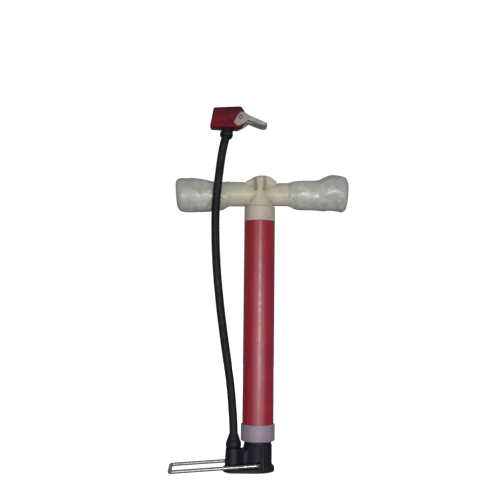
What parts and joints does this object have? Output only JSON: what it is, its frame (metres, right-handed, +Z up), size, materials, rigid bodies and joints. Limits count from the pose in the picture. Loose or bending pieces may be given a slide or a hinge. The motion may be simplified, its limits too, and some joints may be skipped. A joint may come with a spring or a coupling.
{
  "type": "ball inflation pump",
  "caption": "Upright hand pump: T handle, plastic barrel, ribbed base with a wire foot stirrup, rubber hose and a lever-lock valve head.",
  "frame": {"origin": "centre of the base's underside, on the barrel's axis", "axes": "+Z up along the barrel; -X towards the hose boss and the stirrup's end; -Y towards the front, where the hose passes the handle; the handle's arms lie along X"},
  "size_m": [0.169, 0.0583, 0.3452],
  "materials": {
    "milky_plastic": "translucent milky moulding, satin",
    "grip_sleeve": "soft clear-grey sleeve, wrinkled and shiny",
    "lilac_plastic": "milky moulding with a lilac cast",
    "red_tube": "satin extruded tube",
    "red_head": "satin moulding",
    "black_plastic": "fine moulded grain, slight sheen",
    "hose_rubber": "smooth matt rubber",
    "seal_rubber": "oiled matt rubber",
    "grey_plastic": "satin moulding",
    "white_plastic": "natural nylon",
    "stirrup_wire": "drawn wire, bright plated",
    "steel": "zinc plated",
    "brass": "turned"
  },
  "bodies": {
    "pump_body": {"base": "black_plastic", "base_gasket": "seal_rubber", "check_valve_seat": "seal_rubber", "check_valve_spring": "steel", "hose_barb": "brass", "hose_nut": "black_plastic", "bottom_collar": "lilac_plastic", "barrel": "red_tube", "top_cap": "milky_plastic", "guide_bush": "white_plastic", "hose": "hose_rubber", "head_body": "red_head", "mouth_ring": "black_plastic", "mouth_grommet": "seal_rubber", "head_barb": "brass", "head_ferrule": "black_plastic", "lever_pin": "steel"},
    "piston": {"piston_body": "white_plastic", "piston_cup": "seal_rubber", "cup_washer": "steel", "piston_nut": "steel", "bump_washer": "seal_rubber"},
    "handle_and_rod": {"piston_rod": "steel", "handle": "milky_plastic", "grip_sleeve_left": "grip_sleeve", "grip_sleeve_right": "grip_sleeve", "rod_nut": "steel"},
    "stirrup": {"stirrup": "stirrup_wire"},
    "valve_ball": {"check_valve_ball": "steel"},
    "lever": {"lever": "grey_plastic"},
    "head_plunger": {"head_plunger": "white_plastic"}
  },
  "joints": [
    {"name": "pump_stroke", "type": "slide", "parent": "pump_body", "child": "piston", "axis": [0, 0, 1], "range_m": [0, 0.158]},
    {"name": "handle_turn", "type": "hinge", "parent": "piston", "child": "handle_and_rod", "pos_m": [0, 0, 0.26], "axis": [0, 0, 1], "range_deg": [-120, 0]},
    {"name": "stirrup_fold", "type": "hinge", "parent": "pump_body", "child": "stirrup", "pos_m": [0.001, 0, 0.0083], "axis": [0, 1, 0], "range_deg": [0, 64]},
    {"name": "lever_throw", "type": "hinge", "parent": "pump_body", "child": "lever", "pos_m": [-0.0192, -0.027, 0.3342], "axis": [0, -1, 0], "range_deg": [0, 95]},
    {"name": "plunger_push", "type": "slide", "parent": "pump_body", "child": "head_plunger", "axis": [-1, 0, 0], "range_m": [0, 0.0021]},
    {"name": "valve_lift", "type": "slide", "parent": "pump_body", "child": "valve_ball", "axis": [0, 0, 1], "range_m": [0, 0.0012], "stiffness_N_per_m": 30, "springref_m": -0.001, "deforming": ["check_valve_spring"]}
  ],
  "couplings": [
    {"joint": "plunger_push", "follows": "lever_throw", "m_per_rad": 0.001206}
  ]
}
